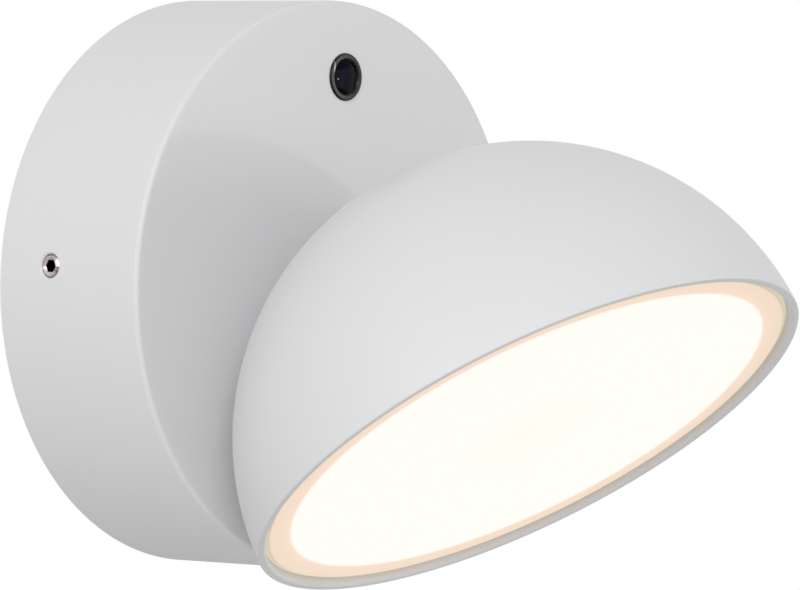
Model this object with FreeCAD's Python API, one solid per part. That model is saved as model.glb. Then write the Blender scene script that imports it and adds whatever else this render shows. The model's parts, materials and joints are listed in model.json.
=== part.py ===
import FreeCAD, Part
import math
import os

V = FreeCAD.Vector

# Pivoting spotlight wall light, in millimetres, +Z up. The wall is the plane y = 0 and the light
# stands out from it towards -Y. The origin is the middle of the drum's back, on the wall.

# Drum
drum_radius = 60.0              # at its front edge
drum_depth = 38.5
drum_draft = 1.0                # degrees, so the casting is a little wider at the wall
drum_wall = 2.8
drum_front = 3.0                # thickness of its front wall
front_round = 1.0
back_round = 0.4

# Ball joint: the lamp head turns about one point in front of the drum
tilt_shown = 55.9               # degrees, light direction below straight out
tilt_middle = 45.0              # tilt at which the stem stands square to the wall
tilt_swing = 14.0               # each way from there
pan_shown = 3.4                 # degrees, head turned about the wall's normal towards +X
pan_limit = 165.0

# Gaps and fits
slide_gap = 0.3                 # between pieces that move past each other
shaft_fit = 0.05                # radial, shaft in its bush
thread_fit = 0.05               # radial, screw in the hole that it is screwed into
screw_gap = 0.2                 # radial, screw through a plain hole
push_fit = 0.02                 # radial, piece pushed into a hole

# Lamp head shell
dome_over = 0.4                 # dome's radius over the drum's, so that they look alike
dome_wall = 1.8
rim_beyond = 0.25               # rim plane lies this far past the ball's centre
rim_round = 0.35
mouth_bevel = 0.5
ledge_width = 2.4
ledge_thick = 2.5

# Turning seat for the ball in the drum's front, and the ring that holds it
seat_opening = 25.1             # radius of the opening in the drum's front
opening_round = 0.5
opening_edge = 4.0              # front wall left under the opening, from the drum's rounded edge
liner_thick = 1.0
liner_radius = 22.8
seat_wall = 2.5
seat_lip = 23.8                 # radius of the seat inside the opening
seat_lip_height = 0.5895        # of the seat's rim beyond the ball, at the drum's front
seat_flange = 26.9
seat_flange_thick = 1.5
tooth_radius = 24.8             # tooth on the seat that meets the stop in the opening
stop_radius = 24.1
stop_half_angle = 4.0
flange_seal_thick = 0.5
flange_seal_width = 1.4
keeper_lip = 25.0               # bore of the keeper ring's lip
keeper_lip_thick = 2.0
keeper_radius = 29.5
keeper_screw_circle = 33.0
keeper_screw_angles = (50.0, 130.0, 200.0, 340.0)
keeper_ear_radius = 3.4
keeper_ear_thick = 1.5

# Hollow stem that pins the dome to its seat, and what it carries
stem_radius = 4.0
stem_bore = 2.4
stem_flat = 3.4                 # half width across the flats that key it
stem_chamfer = 0.5
stem_head_radius = 8.0
stem_head_thick = 2.0
stem_pad = 1.2                  # flat pad in the dome under the stem's head
shoe_radius = 6.5
shoe_thick = 2.4
spring_height = 1.2
spring_sheet = 0.6
spring_radius = 6.4
nut_flats = 13.0
nut_thick = 4.0
thread_end = 1.4                # stem past its nut

# Optical unit, measured inwards from the rim plane
diffuser_gap = 1.1              # radial, in the dome
diffuser_thick = 2.0
diffuser_recess = 1.35
diffuser_edge = 0.3
gasket_thick = 1.0
gasket_width = 3.4
flange_gap = 1.0                # radial, in the dome
flange_thick = 2.0
flange_rim = 4.9                # carrier's flange outside the reflector's mouth
reflector_wall = 0.8
reflector_taper = 8.7           # radial, from its mouth to its base
board_depth = 6.2               # from the flange's face to the board's face
board_rim = 2.6                 # board outside the reflector's base
board_thick = 1.6
cup_wall = 1.6
cup_floor = 2.5
fin_thick = 2.0
fin_spacing = 7.0
fin_first = 14.0
fin_count_each_side = 4
fin_tip = 30.0                  # furthest reach of the fins from the rim plane
fin_clear = 2.5
chip_size = 3.0
chip_height = 0.7
chip_inner_circle = 15.0
chip_outer_circle = 33.0
inner_chip_count = 6
outer_chip_count = 12
outer_chip_first = 75.0         # degrees
head_screw_out = 3.3            # from the board's edge to the middle of the carrier's screws
head_screw_count = 3
head_boss_radius = 4.0
board_screw_circle = 24.0
board_screw_count = 3
board_screw_first = 30.0        # degrees

# Small screws
m3_radius = 1.5
m3_head_radius = 2.75
m3_head_height = 1.8
m3_short = 6.0
m3_long = 10.0
m3_board = 4.0
m3_terminal = 16.0
m4_radius = 2.0
m4_head_radius = 4.0
m4_head_height = 2.6
m4_length = 7.0
screw_crown = 0.4               # rounding of a pan head, as a share of its height
slot_width = 0.8
slot_depth = 0.9

# Set screws that lock the drum on its bracket
set_radius = 2.5
set_length = 8.0
set_depth = 14.1                # from the wall to the screw's axis
set_recess = 0.25
set_chamfer = 0.45
set_hex = 2.5                   # across the socket's flats
set_hex_depth = 3.2
set_boss_radius = 5.6
set_mouth = 0.35                # countersink round the set screw

# Wall bracket, rim gasket and grommet
bracket_thick = 1.5
bracket_width = 28.0
bracket_bend = 2.2
tab_width = 18.0
tab_reach = 20.0
tab_gap = 0.6                   # from the tab to the set screw's boss
wall_slot_spacing = 60.0
wall_slot_length = 14.0
wall_slot_width = 5.2
cable_hole = 9.0
grommet_bore = 4.0
grommet_flange = 11.5
grommet_flange_thick = 1.7
grommet_depth = 8.0
grommet_nose = 5.6
rim_gasket_width = 2.4
rim_gasket_depth = 3.2
rim_gasket_gap = 0.15
rim_ledge_thick = 2.0

# Daylight sensor
sensor_edge = 15.95             # from the sensor's middle up to the drum's front edge
bezel_radius = 5.05
bezel_stand = 0.45
bezel_round = 0.35
bezel_flange = 0.9
sleeve_radius = 4.5
sleeve_length = 9.0
lens_radius = 3.7
lens_length = 3.0
lens_crown = 0.35
sensor_nut_flats = 13.0
sensor_nut_thick = 2.4
sensor_seal_radius = 7.0
sensor_seal_thick = 0.8
sensor_board_width = 14.0
sensor_board_height = 11.0
sensor_board_thick = 1.2
photocell_radius = 2.4
photocell_length = 3.4

# Driver
driver_edge = 22.0              # from its end to the drum's side, level with the middle
driver_to_terminal = 13.0       # room for its ear
driver_to_keeper = 1.4
driver_to_nut = 7.55            # below the sensor's nut
driver_deep = 18.0
driver_round = 2.0
driver_lid_thick = 1.5
driver_lid_lip = 1.2
ear_width = 11.0
ear_height = 9.0
ear_thick = 3.0
boss_radius = 3.6
boss_tall = 6.0
socket_x = -24.0                # plug socket for the lamp's lead, under the driver
socket_width = 9.0
socket_height = 8.0
socket_deep = 7.0
socket_y = 7.0                  # from the drum's front wall
socket_pin_count = 2
socket_pin_width = 2.4
socket_pin_pitch = 3.8
socket_pin_depth = 5.0

# Terminal block and earth
terminal_edge = 21.0            # from its middle to the drum's side
terminal_z = 13.0
terminal_width = 16.0
terminal_height = 30.0
terminal_deep = 13.0
terminal_pads = 5.0
pole_pitch = 10.0
pole_count = 3
pole_well = 2.3
wire_hole = 1.8
clamp_radius = 1.9
clamp_length = 5.0
clamp_sink = 1.0
clamp_offset = 4.3
earth_x = 38.0
earth_z = -17.0
earth_boss_radius = 5.0
earth_boss_tall = 8.0
tag_thick = 0.9
tag_radius = 4.6
tag_length = 9.0

# Inner leads
core_radius = 1.0
core_bow = 3.0                  # over the driver's screw
earth_clear = 2.0               # round the terminal block and the tag
lamp_lead_radius = 1.9
lead_tail = 4.0                 # lead past the stem's end
lead_entry = 15.4               # from the stem's head to the middle of the lead's first bend
sensor_lead_radius = 0.7
sensor_lead_out = 5.0           # from the sensor's board back to the lead's bend
sensor_lead_over = 4.0          # over the driver
gland_radius = 4.2
gland_stand = 2.6
gland_neck = 2.9

floor_y = -(drum_depth - drum_front)                 # inner face of the drum's front wall
back_radius = drum_radius + drum_depth * math.tan(math.radians(drum_draft))
dome_radius = drum_radius + dome_over
dome_inner = dome_radius - dome_wall
diffuser_radius = dome_inner - diffuser_gap
flange_radius = dome_inner - flange_gap
mouth_radius = flange_radius - flange_rim            # the edge of the bright disc
reflector_base = mouth_radius - reflector_taper
board_radius = reflector_base + board_rim
head_screw_circle = board_radius + head_screw_out
liner_inner = dome_radius + slide_gap
liner_outer = liner_inner + liner_thick
seat_back = liner_outer + seat_wall
shoe_inner = seat_back + slide_gap
shoe_back = shoe_inner + shoe_thick
nut_front = shoe_back + spring_height
nut_back = nut_front + nut_thick
stem_back = nut_back + thread_end
stem_seat = dome_inner - stem_pad
stem_front = stem_seat - stem_head_thick
slot_half = stem_flat + slide_gap
slot_end = tilt_swing + math.degrees(math.asin((stem_radius + slide_gap) / liner_inner))

# Distances from the ball's centre along the seat's axis
front_at = math.sqrt(liner_inner ** 2 - seat_lip ** 2) - seat_lip_height
floor_at = front_at + drum_front
flange_at = floor_at + flange_seal_thick + shaft_fit
keeper_lip_at = flange_at + seat_flange_thick + shaft_fit
keeper_back_at = keeper_lip_at + keeper_lip_thick

# The ball's centre from the wall, and down from the drum's middle
head_reach = drum_depth + front_at
head_drop = drum_radius - front_round - opening_edge - seat_opening

# Places of what the drum holds, from its middle
sensor_rise = drum_radius - sensor_edge
terminal_x = drum_radius - terminal_edge
driver_start = driver_edge - drum_radius
driver_end = terminal_x - terminal_width / 2 - driver_to_terminal
driver_width = driver_end - driver_start
driver_x = (driver_start + driver_end) / 2
driver_bottom = keeper_radius + driver_to_keeper - head_drop
driver_height = sensor_rise - sensor_nut_flats / 2 - driver_to_nut - driver_bottom

diffuser_face = -rim_beyond + diffuser_recess
diffuser_back = diffuser_face + diffuser_thick
flange_face = diffuser_back + gasket_thick
flange_back = flange_face + flange_thick
board_face = flange_face + board_depth
cup_radius = mouth_radius + reflector_wall + push_fit
cup_inside = board_face + board_thick
cup_back = cup_inside + cup_floor


# Round bar along Y
def bar(radius, y0, y1, x=0.0, z=0.0):
    return Part.makeCylinder(radius, abs(y1 - y0), V(x, min(y0, y1), z), V(0, 1, 0))


# Flat ring or tube along Y
def ring(outer, inner, y0, y1, x=0.0, z=0.0):
    return bar(outer, y0, y1, x, z).cut(bar(inner, min(y0, y1) - 1, max(y0, y1) + 1, x, z))


def block(x0, x1, y0, y1, z0, z1):
    return Part.makeBox(abs(x1 - x0), abs(y1 - y0), abs(z1 - z0), V(min(x0, x1), min(y0, y1), min(z0, z1)))


# Full circles among a shape's edges that lie at one distance along Y
def rims_at(shape, y):
    return [e for e in shape.Edges if len(e.Vertexes) == 1 and abs(e.CenterOfMass.y - y) < 1e-5]


# Hexagonal bar along Y, with flats at top and bottom
def hex_bar(flats, y0, y1, x=0.0, z=0.0):
    corner = flats / 2 / math.cos(math.radians(30))
    points = []
    for i in range(7):
        angle = math.radians(60 * i)
        points.append(V(x + corner * math.cos(angle), min(y0, y1), z + corner * math.sin(angle)))
    face = Part.Face(Part.makePolygon(points))
    return face.extrude(V(0, abs(y1 - y0), 0))


# Solid of revolution about Y, from (radius, y) corners
def spun(corners):
    points = [V(radius, y, 0) for radius, y in corners]
    face = Part.Face(Part.makePolygon(points + points[:1]))
    return face.revolve(V(0, 0, 0), V(0, 1, 0), 360)


# Level slot through Y: two round ends and the straight between
def stadium(length, width, y0, y1, x=0.0, z=0.0):
    reach = (length - width) / 2
    shape = bar(width / 2, y0, y1, x - reach, z).fuse(bar(width / 2, y0, y1, x + reach, z))
    return shape.fuse(block(x - reach, x + reach, y0, y1, z - width / 2, z + width / 2)).removeSplitter()


# Part of a ring, to both sides of one angle. Angles run from +X towards +Z, and half is under 45.
def sector(outer, inner, y0, y1, middle, half):
    points = [V(0, min(y0, y1), 0)]
    for angle in (middle - half, middle + half):
        points.append(V(2 * outer * math.cos(math.radians(angle)), min(y0, y1),
                        2 * outer * math.sin(math.radians(angle))))
    wedge = Part.Face(Part.makePolygon(points + points[:1])).extrude(V(0, abs(y1 - y0), 0))
    return ring(outer, inner, y0, y1).common(wedge)


# Pan-head screw along Y with a slotted head, its seat at y; way is the side that the shank points to
def pan_screw(radius, head_radius, head_height, length, x, y, z, way):
    top = y - way * head_height
    shank = bar(radius, y, y + way * length, x, z)
    head = bar(head_radius, y, top, x, z)
    head = head.makeFillet(head_height * screw_crown, rims_at(head, top))
    groove = block(x - head_radius, x + head_radius, top, top + way * slot_depth,
                   z - slot_width / 2, z + slot_width / 2)
    return shank.fuse(head).removeSplitter().cut(groove)


# Places round a circle about Y, the first one straight up
def circle_places(radius, count, first=90.0):
    places = []
    for i in range(count):
        angle = math.radians(first + 360.0 * i / count)
        places.append((radius * math.cos(angle), radius * math.sin(angle)))
    return places


# Lead along straight runs, with an arc at each corner as large as the two runs allow
def lead(points, radius):
    corners = [V(*point) for point in points]
    edges = []
    start = corners[0]
    for before, corner, after in zip(corners, corners[1:], corners[2:]):
        to_back = (before - corner).normalize()
        to_next = (after - corner).normalize()
        reach = 0.45 * min((before - corner).Length, (after - corner).Length)
        enter = corner + to_back * reach
        leave = corner + to_next * reach
        half_turn = (math.pi - to_back.getAngle(to_next)) / 2
        bend = reach / math.tan(half_turn)
        inward = (to_back + to_next).normalize()
        middle = corner + inward * (bend / math.cos(half_turn) - bend)
        edges.append(Part.LineSegment(start, enter).toShape())
        edges.append(Part.Arc(enter, middle, leave).toShape())
        start = leave
    edges.append(Part.LineSegment(start, corners[-1]).toShape())
    outline = Part.Wire(Part.makeCircle(radius, corners[0], corners[1] - corners[0]))
    return Part.Wire(edges).makePipeShell([outline], True, False)


# From the ball's own frame to the wall's. In the first, the origin is the ball's centre.
def at_ball(shape):
    shape.translate(V(0, -head_reach, -head_drop))
    return shape


# The same for what pans with the head
def panned(shape):
    shape.rotate(V(0, 0, 0), V(0, 1, 0), -pan_shown)
    return at_ball(shape)


# The same for what also tilts. Untilted, the light points to -Y and the dome's top to +Y.
def aimed(shape):
    shape.rotate(V(0, 0, 0), V(1, 0, 0), tilt_shown)
    return panned(shape)


# The same for what lies along the stem, which is made along +Y
def on_stem(shape):
    shape.rotate(V(0, 0, 0), V(1, 0, 0), -tilt_middle)
    return aimed(shape)


def base_housing():
    outer = Part.makeCone(drum_radius, back_radius, drum_depth, V(0, -drum_depth, 0), V(0, 1, 0))
    outer = outer.makeFillet(front_round, rims_at(outer, -drum_depth))
    outer = outer.makeFillet(back_round, rims_at(outer, 0))
    cavity = Part.makeCone(drum_radius - drum_wall, back_radius - drum_wall, -floor_y,
                           V(0, floor_y, 0), V(0, 1, 0))
    shape = outer.cut(cavity)
    ledge = ring(back_radius - drum_wall + push_fit, back_radius - drum_wall - rim_gasket_width,
                 -rim_gasket_depth, -rim_gasket_depth - rim_ledge_thick)
    shape = shape.fuse(ledge)
    for x in driver_boss_places():
        shape = shape.fuse(screw_boss(boss_radius, boss_tall, x, driver_ear_z(), m3_radius,
                                      m3_short - ear_thick))
    for z in terminal_fixing_heights():
        shape = shape.fuse(screw_boss(boss_radius, terminal_pads, terminal_x, z, m3_radius,
                                      m3_terminal - terminal_deep))
    shape = shape.fuse(screw_boss(earth_boss_radius, earth_boss_tall, earth_x, earth_z, m4_radius,
                                  m4_length - tag_thick))
    for side in (-1, 1):
        shape = shape.fuse(set_screw_boss(side))
    shape = shape.cut(at_ball(bar(seat_opening, front_at - 1, floor_at + 1)))
    lip = [e for e in rims_at(shape, -drum_depth) if abs(e.CenterOfMass.z + head_drop) < 1e-4]
    shape = shape.makeFillet(opening_round, lip)
    shape = shape.fuse(at_ball(sector(seat_opening + 1, stop_radius, front_at + opening_round, floor_at,
                                      270.0, stop_half_angle)))
    keeper_boss_tall = keeper_back_at - keeper_ear_thick - floor_at
    into_front = m3_short - keeper_ear_thick - keeper_boss_tall
    for x, z in keeper_screw_places():
        shape = shape.fuse(screw_boss(keeper_ear_radius, keeper_boss_tall, x, z - head_drop, m3_radius,
                                      m3_short - keeper_ear_thick))
        shape = shape.cut(bar(m3_radius + thread_fit, floor_y - into_front - screw_gap, floor_y + 1,
                              x, z - head_drop))
    for side in (-1, 1):
        shape = shape.cut(set_screw_hole(side))
    shape = shape.cut(bar(sleeve_radius + push_fit, -drum_depth - 1, floor_y + 1, 0, sensor_rise))
    return shape.cut(bar(bezel_radius + push_fit, -drum_depth - 1, -drum_depth + bezel_flange,
                         0, sensor_rise)).removeSplitter()


# Boss on the inner face of the drum's front wall, with a blind screw hole in its end
def screw_boss(radius, height, x, z, screw_radius, screw_into):
    top = floor_y + height
    hole = bar(screw_radius + thread_fit, top - screw_into - screw_gap, top + 1, x, z)
    return bar(radius, floor_y - 0.5, top, x, z).cut(hole)


def set_screw_outer():
    return back_radius - set_depth * math.tan(math.radians(drum_draft)) - set_recess


def set_screw_boss(side):
    inner = set_screw_outer() - set_length + tab_gap
    height = set_screw_outer() - drum_wall / 2 - inner
    return Part.makeCylinder(set_boss_radius, height, V(side * inner, -set_depth, 0), V(side, 0, 0))


def set_screw_hole(side):
    length = set_length + 2 * set_recess + 2
    outer = set_screw_outer() + set_recess
    hole = Part.makeCylinder(set_radius + thread_fit, length, V(side * (outer + 1), -set_depth, 0),
                             V(-side, 0, 0))
    mouth = Part.makeCone(set_radius + set_mouth + thread_fit + 0.5, set_radius + thread_fit, set_mouth + 0.5,
                          V(side * (outer + 0.5), -set_depth, 0), V(-side, 0, 0))
    return hole.fuse(mouth)


def set_screws():
    outer = set_screw_outer()
    screws = []
    for side in (-1, 1):
        screw = Part.makeCylinder(set_radius, set_length, V(side * (outer - set_length), -set_depth, 0),
                                  V(side, 0, 0))
        ends = [e for e in screw.Edges if len(e.Vertexes) == 1]
        screw = screw.makeChamfer(set_chamfer, ends)
        socket = hex_bar(set_hex, 0, set_hex_depth + 1)
        socket.rotate(V(0, 0, 0), V(0, 0, 1), -90 * side)
        socket.translate(V(side * (outer - set_hex_depth), -set_depth, 0))
        screws.append(screw.cut(socket))
    return Part.makeCompound(screws)


# The set screws' inner ends press on the bracket's tabs
def wall_bracket():
    outer = set_screw_outer() - set_length
    shape = block(-outer, outer, 0, -bracket_thick, -bracket_width / 2, bracket_width / 2)
    for side in (-1, 1):
        shape = shape.fuse(block(side * (outer - bracket_thick), side * outer, 0, -tab_reach,
                                 -tab_width / 2, tab_width / 2))
    shape = shape.removeSplitter()
    for side in (-1, 1):
        bend = [e for e in shape.Edges if abs(e.CenterOfMass.x - side * outer) < 1e-6
                and abs(e.CenterOfMass.y) < 1e-6 and abs(e.CenterOfMass.z) < 1e-6]
        shape = shape.makeFillet(bracket_bend - bracket_thick / 2, bend)
    for side in (-1, 1):
        shape = shape.cut(stadium(wall_slot_length, wall_slot_width, 1, -bracket_thick - 1,
                                  side * wall_slot_spacing / 2))
        shape = shape.cut(Part.makeCylinder(set_radius + screw_gap, bracket_thick + 2,
                                            V(side * (outer - bracket_thick - 1), -set_depth, 0),
                                            V(side, 0, 0)))
    return shape.cut(bar(cable_hole, 1, -bracket_thick - 1))


def rim_gasket():
    outer = back_radius - drum_wall - rim_gasket_gap - rim_gasket_depth * math.tan(math.radians(drum_draft))
    return ring(outer, outer - rim_gasket_width, 0, -rim_gasket_depth)


def cable_grommet():
    flange_back = -bracket_thick - grommet_flange_thick
    corners = [(grommet_bore, 0), (cable_hole - push_fit, 0), (cable_hole - push_fit, -bracket_thick),
               (grommet_flange, -bracket_thick), (grommet_flange, flange_back),
               (cable_hole, flange_back), (grommet_nose, -grommet_depth), (grommet_bore, -grommet_depth)]
    return spun(corners)


def sensor_bezel():
    face = -drum_depth - bezel_stand
    shape = ring(bezel_radius, lens_radius + push_fit, face, -drum_depth + bezel_flange, 0, sensor_rise)
    shape = shape.makeFillet(bezel_round, rims_at(shape, face))
    sleeve = ring(sleeve_radius, lens_radius + push_fit, -drum_depth + bezel_flange / 2,
                  -drum_depth + sleeve_length, 0, sensor_rise)
    return shape.fuse(sleeve).removeSplitter()


def sensor_lens():
    face = -drum_depth - bezel_stand / 2
    radius = (lens_radius ** 2 + lens_crown ** 2) / (2 * lens_crown)
    crown = Part.makeSphere(radius, V(0, face - lens_crown + radius, sensor_rise))
    stock = bar(lens_radius, face - lens_crown - 1, face + lens_length, 0, sensor_rise)
    return stock.common(crown)


def sensor_seal():
    return ring(sensor_seal_radius, sleeve_radius + push_fit, floor_y, floor_y + sensor_seal_thick,
                0, sensor_rise)


def sensor_nut():
    front = floor_y + sensor_seal_thick
    back = front + sensor_nut_thick
    shape = hex_bar(sensor_nut_flats, front, back, 0, sensor_rise)
    return shape.cut(bar(sleeve_radius + push_fit, front - 1, back + 1, 0, sensor_rise))


def sensor_board():
    front = -drum_depth + sleeve_length
    board = block(-sensor_board_width / 2, sensor_board_width / 2, front, front + sensor_board_thick,
                  sensor_rise - sensor_board_height / 2, sensor_rise + sensor_board_height / 2)
    cell = bar(photocell_radius, front - photocell_length, front, 0, sensor_rise)
    return board.fuse(cell).removeSplitter()


def driver_boss_places():
    reach = driver_width / 2 + ear_width - boss_radius - 1
    return [driver_x - reach, driver_x + reach]


def driver_ear_z():
    return driver_bottom + ear_height / 2


def driver_back():
    return floor_y + driver_deep


def driver_case():
    shape = block(driver_x - driver_width / 2, driver_x + driver_width / 2, floor_y, driver_back(),
                  driver_bottom, driver_bottom + driver_height)
    upright = [e for e in shape.Edges if abs(e.Vertexes[0].Y - e.Vertexes[1].Y) > 1]
    shape = shape.makeFillet(driver_round, upright)
    ear_y = floor_y + boss_tall
    for side in (-1, 1):
        end = driver_x + side * driver_width / 2
        ear = block(end - side, end + side * ear_width, ear_y, ear_y + ear_thick,
                    driver_bottom, driver_bottom + ear_height)
        tip = [e for e in ear.Edges if abs(e.Vertexes[0].Y - e.Vertexes[1].Y) > 1
               and abs(e.CenterOfMass.x - driver_x) > driver_width / 2]
        shape = shape.fuse(ear.makeFillet(driver_round, tip))
    for x in driver_boss_places():
        shape = shape.cut(bar(m3_radius + screw_gap, ear_y - 1, ear_y + ear_thick + 1, x, driver_ear_z()))
    for x, z in keeper_screw_places():
        room = bar(keeper_ear_radius + slide_gap, floor_y, driver_back(), x, z - head_drop)
        shape = shape.cut(room)
    return shape.removeSplitter().cut(driver_lid_room(driver_back() - driver_lid_thick, driver_back() + 1, 0))


# Shallow recess in the back of the driver's case, in which its lid lies
def driver_lid_room(y0, y1, gap):
    inset = driver_lid_lip + gap
    shape = block(driver_x - driver_width / 2 + inset, driver_x + driver_width / 2 - inset, y0, y1,
                  driver_bottom + inset, driver_bottom + driver_height - inset)
    upright = [e for e in shape.Edges if abs(e.Vertexes[0].Y - e.Vertexes[1].Y) > 0.1]
    return shape.makeFillet(driver_round - driver_lid_lip / 2, upright)


def driver_lid():
    return driver_lid_room(driver_back() - driver_lid_thick, driver_back(), push_fit * 5)


def driver_screws():
    seat = floor_y + boss_tall + ear_thick
    return Part.makeCompound([pan_screw(m3_radius, m3_head_radius, m3_head_height, m3_short, x, seat,
                                        driver_ear_z(), -1) for x in driver_boss_places()])


# Plug socket under the driver, open downwards, for the lamp's lead
def lamp_socket():
    front = floor_y + socket_y
    top = driver_bottom
    shape = block(socket_x - socket_width / 2, socket_x + socket_width / 2, front, front + socket_deep,
                  top - socket_height, top)
    upright = [e for e in shape.Edges if abs(e.Vertexes[0].Z - e.Vertexes[1].Z) > 1]
    shape = shape.makeFillet(driver_round / 2, upright)
    middle = front + socket_deep / 2
    half = socket_pin_width / 2
    for i in range(socket_pin_count):
        x = socket_x + socket_pin_pitch * (i - (socket_pin_count - 1) / 2)
        shape = shape.cut(block(x - half, x + half, middle - half, middle + half, top - socket_height - 1,
                                top - socket_height + socket_pin_depth))
    return shape


def pole_heights():
    return [terminal_z + pole_pitch * (i - (pole_count - 1) / 2) for i in range(pole_count)]


def terminal_fixing_heights():
    heights = pole_heights()
    return [(low + high) / 2 for low, high in zip(heights, heights[1:])]


def terminal_front():
    return floor_y + terminal_pads


def terminal_block():
    front = terminal_front()
    back = front + terminal_deep
    shape = block(terminal_x - terminal_width / 2, terminal_x + terminal_width / 2, front, back,
                  terminal_z - terminal_height / 2, terminal_z + terminal_height / 2)
    sunk = back - clamp_sink
    for z in pole_heights():
        for side in (-1, 1):
            x = terminal_x + side * clamp_offset
            shape = shape.cut(bar(clamp_radius + thread_fit, sunk - clamp_length, sunk, x, z))
            shape = shape.cut(bar(pole_well, sunk, back + 1, x, z))
        shape = shape.cut(Part.makeCylinder(wire_hole, terminal_width + 2,
                                            V(terminal_x - terminal_width / 2 - 1, terminal_wire_y(), z),
                                            V(1, 0, 0)))
    for z in terminal_fixing_heights():
        shape = shape.cut(bar(m3_radius + screw_gap, front - 1, back + 1, terminal_x, z))
    return shape.removeSplitter()


def terminal_wire_y():
    return terminal_front() + terminal_deep - clamp_sink - clamp_length - wire_hole


def terminal_screws():
    top = terminal_front() + terminal_deep - clamp_sink
    screws = []
    for z in pole_heights():
        for side in (-1, 1):
            x = terminal_x + side * clamp_offset
            screw = bar(clamp_radius, top - clamp_length, top, x, z)
            groove = block(x - clamp_radius, x + clamp_radius, top - slot_depth, top + 1,
                           z - slot_width / 2, z + slot_width / 2)
            screws.append(screw.cut(groove))
    return Part.makeCompound(screws)


def terminal_fixings():
    seat = terminal_front() + terminal_deep
    return Part.makeCompound([pan_screw(m3_radius, m3_head_radius, m3_head_height, m3_terminal, terminal_x,
                                        seat, z, -1) for z in terminal_fixing_heights()])


def earth_tag():
    seat = floor_y + earth_boss_tall
    eye = ring(tag_radius, m4_radius + screw_gap, seat, seat + tag_thick, earth_x, earth_z)
    tail = block(earth_x - core_radius * 1.6, earth_x + core_radius * 1.6, seat, seat + tag_thick,
                 earth_z + tag_radius - 1, earth_z + tag_length)
    return eye.fuse(tail).removeSplitter()


def earth_screw():
    return pan_screw(m4_radius, m4_head_radius, m4_head_height, m4_length, earth_x,
                     floor_y + earth_boss_tall + tag_thick, earth_z, -1)


# Slot in the seat in which the stem swings, from one radius to another
def stem_slot(inner, outer):
    corners = [V(x, y, 0) for x, y in ((-slot_half, inner), (slot_half, inner), (slot_half, outer),
                                       (-slot_half, outer), (-slot_half, inner))]
    face = Part.Face(Part.makePolygon(corners))
    face.rotate(V(0, 0, 0), V(1, 0, 0), -slot_end)
    return face.revolve(V(0, 0, 0), V(1, 0, 0), 2 * slot_end)


# Round dish with a flange behind the drum's front wall. It turns about the wall's normal.
def swivel_seat():
    bowl = Part.makeSphere(seat_back).common(bar(seat_lip, front_at, seat_back + 1))
    flange = bar(seat_flange, flange_at, flange_at + seat_flange_thick)
    spare = math.degrees(slide_gap / stop_radius)
    tooth = sector(tooth_radius, seat_lip - 1, front_at + opening_round, flange_at, 90.0,
                   180 - pan_limit - stop_half_angle - spare)
    shape = bowl.fuse(flange).fuse(tooth)
    shape = shape.cut(Part.makeSphere(liner_inner))
    shape = shape.cut(Part.makeSphere(liner_outer).common(bar(liner_radius + push_fit, 0, liner_outer + 1)))
    return panned(shape.removeSplitter().cut(stem_slot(liner_inner - 1, seat_back + 1)))


def seat_liner():
    shape = Part.makeSphere(liner_outer - push_fit).cut(Part.makeSphere(liner_inner))
    shape = shape.common(bar(liner_radius, 0, liner_outer + 1))
    return panned(shape.cut(stem_slot(liner_inner - 1, liner_outer + 1)))


def flange_seal():
    return at_ball(ring(seat_flange, seat_flange - flange_seal_width, floor_at, floor_at + flange_seal_thick))


def keeper_screw_places():
    places = []
    for degrees in keeper_screw_angles:
        angle = math.radians(degrees)
        places.append((keeper_screw_circle * math.cos(angle), keeper_screw_circle * math.sin(angle)))
    return places


# Stepped ring that holds the seat's flange, with four screwed ears
def keeper_ring():
    shape = ring(keeper_radius, seat_flange + shaft_fit, floor_at, keeper_lip_at)
    shape = shape.fuse(ring(keeper_radius, keeper_lip, keeper_lip_at, keeper_back_at))
    ear_front = keeper_back_at - keeper_ear_thick
    for angle, (x, z) in zip(keeper_screw_angles, keeper_screw_places()):
        arm = block(keeper_radius - 1, keeper_screw_circle, ear_front, keeper_back_at,
                    -keeper_ear_radius, keeper_ear_radius)
        arm.rotate(V(0, 0, 0), V(0, 1, 0), -angle)
        shape = shape.fuse(arm).fuse(bar(keeper_ear_radius, ear_front, keeper_back_at, x, z))
    for x, z in keeper_screw_places():
        shape = shape.cut(bar(m3_radius + screw_gap, ear_front - 1, keeper_back_at + 1, x, z))
    inside_drum = bar(drum_radius - drum_wall - slide_gap, floor_at, keeper_back_at, 0, head_drop)
    return at_ball(shape.removeSplitter().common(inside_drum))


def keeper_screws():
    return at_ball(Part.makeCompound([pan_screw(m3_radius, m3_head_radius, m3_head_height, m3_short, x,
                                                keeper_back_at, z, -1) for x, z in keeper_screw_places()]))


# Round bar with two flats, along the stem
def flatted(radius, half_flat, y0, y1):
    return bar(radius, y0, y1).common(block(-half_flat, half_flat, y0, y1, -radius, radius))


# Hollow stem with a round head inside the dome and a thread behind the seat
def swivel_stem():
    shank = bar(stem_radius, stem_seat, stem_back)
    shank = shank.makeChamfer(stem_chamfer, rims_at(shank, stem_back))
    shank = shank.common(block(-stem_flat, stem_flat, 0, stem_back + 1, -stem_radius, stem_radius))
    head = bar(stem_head_radius, stem_front, stem_seat)
    head = head.makeChamfer(stem_chamfer, rims_at(head, stem_front))
    shape = head.fuse(shank).removeSplitter()
    return on_stem(shape.cut(bar(stem_bore, stem_front - 1, stem_back + 1)))


# Shoe behind the seat: its hollow front slides on the seat's round back
def slide_shoe():
    shape = bar(shoe_radius, shoe_inner - shoe_thick, shoe_back).cut(Part.makeSphere(shoe_inner))
    return on_stem(shape.cut(bar(stem_radius + thread_fit, 0, shoe_back + 1)))


# Cone spring washer between the shoe and the nut
def disc_spring():
    inner = stem_radius + screw_gap
    return on_stem(spun([(spring_radius, shoe_back), (spring_radius, shoe_back + spring_sheet),
                         (inner, nut_front), (inner, nut_front - spring_sheet)]))


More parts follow.
